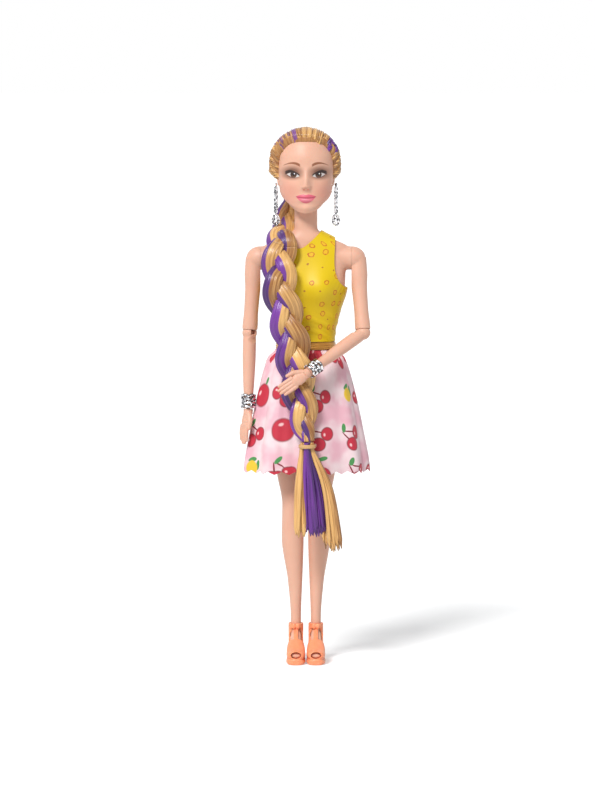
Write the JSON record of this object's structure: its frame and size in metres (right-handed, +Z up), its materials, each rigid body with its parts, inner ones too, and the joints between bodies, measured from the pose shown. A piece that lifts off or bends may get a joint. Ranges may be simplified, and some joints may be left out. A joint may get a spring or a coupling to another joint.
{
  "type": "fashion doll",
  "caption": "Jointed fashion doll with a long side braid, one-shoulder bodice, short flared skirt, bangles, ear drops and heeled sandals.",
  "frame": {"origin": "middle of the standing doll's bounding box, on the floor", "axes": "+Z up along the body; the face looks along -Y; +X is the doll's own left"},
  "size_m": [0.072, 0.0576, 0.2997],
  "materials": {
    "skin_plastic": "smooth satin moulded doll plastic",
    "golden_hair": "fine glossy golden hair fibre with purple strands",
    "silver_metal": "bright silver plating",
    "yellow_cloth": "yellow woven cloth with small orange rings and dots",
    "gold_cloth": "gathered gold satin cloth",
    "pink_cloth": "thin pink woven cloth with a red fruit print",
    "white_strip": "white closure strip",
    "peach_plastic": "peach orange soft moulded plastic",
    "hair_band": "golden elastic band"
  },
  "bodies": {
    "torso": {"torso_front_shell": "skin_plastic", "torso_back_shell": "skin_plastic", "bodice": "yellow_cloth", "bodice_closure": "white_strip", "belt_band": "gold_cloth", "skirt": "pink_cloth", "skirt_closure": "white_strip", "braid": "golden_hair", "braid_band": "hair_band", "hair_tail": "golden_hair"},
    "neck": {"neck_peg": "skin_plastic"},
    "head": {"head_shell": "skin_plastic", "hair_cap": "golden_hair", "gathered_hair": "golden_hair", "ear_stud_left": "silver_metal", "ear_stud_right": "silver_metal"},
    "left_ear_drop": {"ear_drop_left": "silver_metal", "ear_pendant_left": "silver_metal"},
    "left_upper_arm": {"upper_arm_left": "skin_plastic", "shoulder_peg_left": "skin_plastic"},
    "left_elbow": {"elbow_peg_left": "skin_plastic"},
    "left_forearm": {"forearm_left": "skin_plastic"},
    "left_hand": {"hand_left": "skin_plastic", "wrist_peg_left": "skin_plastic"},
    "left_bangles": {"bangles_left": "silver_metal"},
    "left_hip": {"hip_peg_left": "skin_plastic"},
    "left_leg": {"leg_left": "skin_plastic", "shoe_left": "peach_plastic"},
    "right_ear_drop": {"ear_drop_right": "silver_metal", "ear_pendant_right": "silver_metal"},
    "right_upper_arm": {"upper_arm_right": "skin_plastic", "shoulder_peg_right": "skin_plastic"},
    "right_elbow": {"elbow_peg_right": "skin_plastic"},
    "right_forearm": {"forearm_right": "skin_plastic"},
    "right_hand": {"hand_right": "skin_plastic", "wrist_peg_right": "skin_plastic"},
    "right_bangles": {"bangles_right": "silver_metal"},
    "right_hip": {"hip_peg_right": "skin_plastic"},
    "right_leg": {"leg_right": "skin_plastic", "shoe_right": "peach_plastic"}
  },
  "joints": [
    {"name": "head_nod", "type": "hinge", "parent": "torso", "child": "neck", "pos_m": [0.00002, 0.00634, 0.253], "axis": [1, 0, 0], "range_deg": [-8, 8]},
    {"name": "head_turn", "type": "hinge", "parent": "neck", "child": "head", "pos_m": [0.00002, 0.00634, 0.253], "axis": [0, 0, 1], "range_deg": [-70, 70], "deforming": ["gathered_hair", "braid"]},
    {"name": "ear_drop_swing_left", "type": "hinge", "parent": "head", "child": "left_ear_drop", "pos_m": [0.01675, 0.00594, 0.26733], "axis": [1, 0, 0], "range_deg": [-20, 20]},
    {"name": "shoulder_swing_left", "type": "hinge", "parent": "torso", "child": "left_upper_arm", "pos_m": [0.02512, 0.00534, 0.2264], "axis": [1, 0, 0], "range_deg": [-110, 4], "deforming": ["braid", "skirt", "hair_tail", "gathered_hair"]},
    {"name": "elbow_swivel_left", "type": "hinge", "parent": "left_upper_arm", "child": "left_elbow", "pos_m": [0.03182, -0.00316, 0.1854], "axis": [0.0809, -0.2023, -0.976], "range_deg": [-100, 10], "deforming": ["braid", "skirt"]},
    {"name": "elbow_bend_left", "type": "hinge", "parent": "left_elbow", "child": "left_forearm", "pos_m": [0.03182, -0.00316, 0.1854], "axis": [-0.4615, 0.8603, -0.2166], "range_deg": [-58, 2], "deforming": ["braid", "skirt"]},
    {"name": "wrist_turn_left", "type": "hinge", "parent": "left_forearm", "child": "left_hand", "pos_m": [0.00132, -0.02466, 0.165], "axis": [-0.7172, -0.5055, -0.4797], "range_deg": [-60, 60], "deforming": ["braid", "skirt"]},
    {"name": "bangles_turn_left", "type": "hinge", "parent": "left_forearm", "child": "left_bangles", "pos_m": [0.00404, -0.02274, 0.16683], "axis": [-0.7172, -0.5055, -0.4797], "continuous": true},
    {"name": "hip_swing_left", "type": "hinge", "parent": "torso", "child": "left_hip", "pos_m": [0.00892, 0.00594, 0.15], "axis": [1, 0, 0], "range_deg": [-60, 20], "deforming": ["skirt", "braid", "braid_band", "hair_tail"]},
    {"name": "leg_spread_left", "type": "hinge", "parent": "left_hip", "child": "left_leg", "pos_m": [0.00892, 0.00594, 0.15], "axis": [0, 1, 0], "range_deg": [-18, 0], "deforming": ["skirt", "braid", "hair_tail"]},
    {"name": "ear_drop_swing_right", "type": "hinge", "parent": "head", "child": "right_ear_drop", "pos_m": [-0.01672, 0.00594, 0.26733], "axis": [1, 0, 0], "range_deg": [-20, 20]},
    {"name": "shoulder_swing_right", "type": "hinge", "parent": "torso", "child": "right_upper_arm", "pos_m": [-0.02508, 0.00534, 0.2264], "axis": [1, 0, 0], "range_deg": [-150, 25], "deforming": ["braid", "skirt", "hair_tail", "gathered_hair"]},
    {"name": "elbow_swivel_right", "type": "hinge", "parent": "right_upper_arm", "child": "right_elbow", "pos_m": [-0.03138, 0.00384, 0.1848], "axis": [-0.0719, -0.0359, -0.9968], "range_deg": [-60, 60], "deforming": ["braid", "skirt"]},
    {"name": "elbow_bend_right", "type": "hinge", "parent": "right_elbow", "child": "right_forearm", "pos_m": [-0.03138, 0.00384, 0.1848], "axis": [-0.8249, -0.5596, 0.0797], "range_deg": [-6, 38], "deforming": ["braid", "skirt"]},
    {"name": "wrist_turn_right", "type": "hinge", "parent": "right_forearm", "child": "right_hand", "pos_m": [-0.03218, -0.00096, 0.1428], "axis": [-0.0189, -0.1135, -0.9934], "range_deg": [-60, 60], "deforming": ["braid", "skirt"]},
    {"name": "bangles_turn_right", "type": "hinge", "parent": "right_forearm", "child": "right_bangles", "pos_m": [-0.03211, -0.00053, 0.14658], "axis": [-0.0189, -0.1135, -0.9934], "continuous": true},
    {"name": "hip_swing_right", "type": "hinge", "parent": "torso", "child": "right_hip", "pos_m": [-0.00888, 0.00594, 0.15], "axis": [1, 0, 0], "range_deg": [-60, 20], "deforming": ["skirt", "braid", "braid_band", "hair_tail"]},
    {"name": "leg_spread_right", "type": "hinge", "parent": "right_hip", "child": "right_leg", "pos_m": [-0.00888, 0.00594, 0.15], "axis": [0, 1, 0], "range_deg": [0, 18], "deforming": ["skirt", "braid", "hair_tail"]}
  ]
}
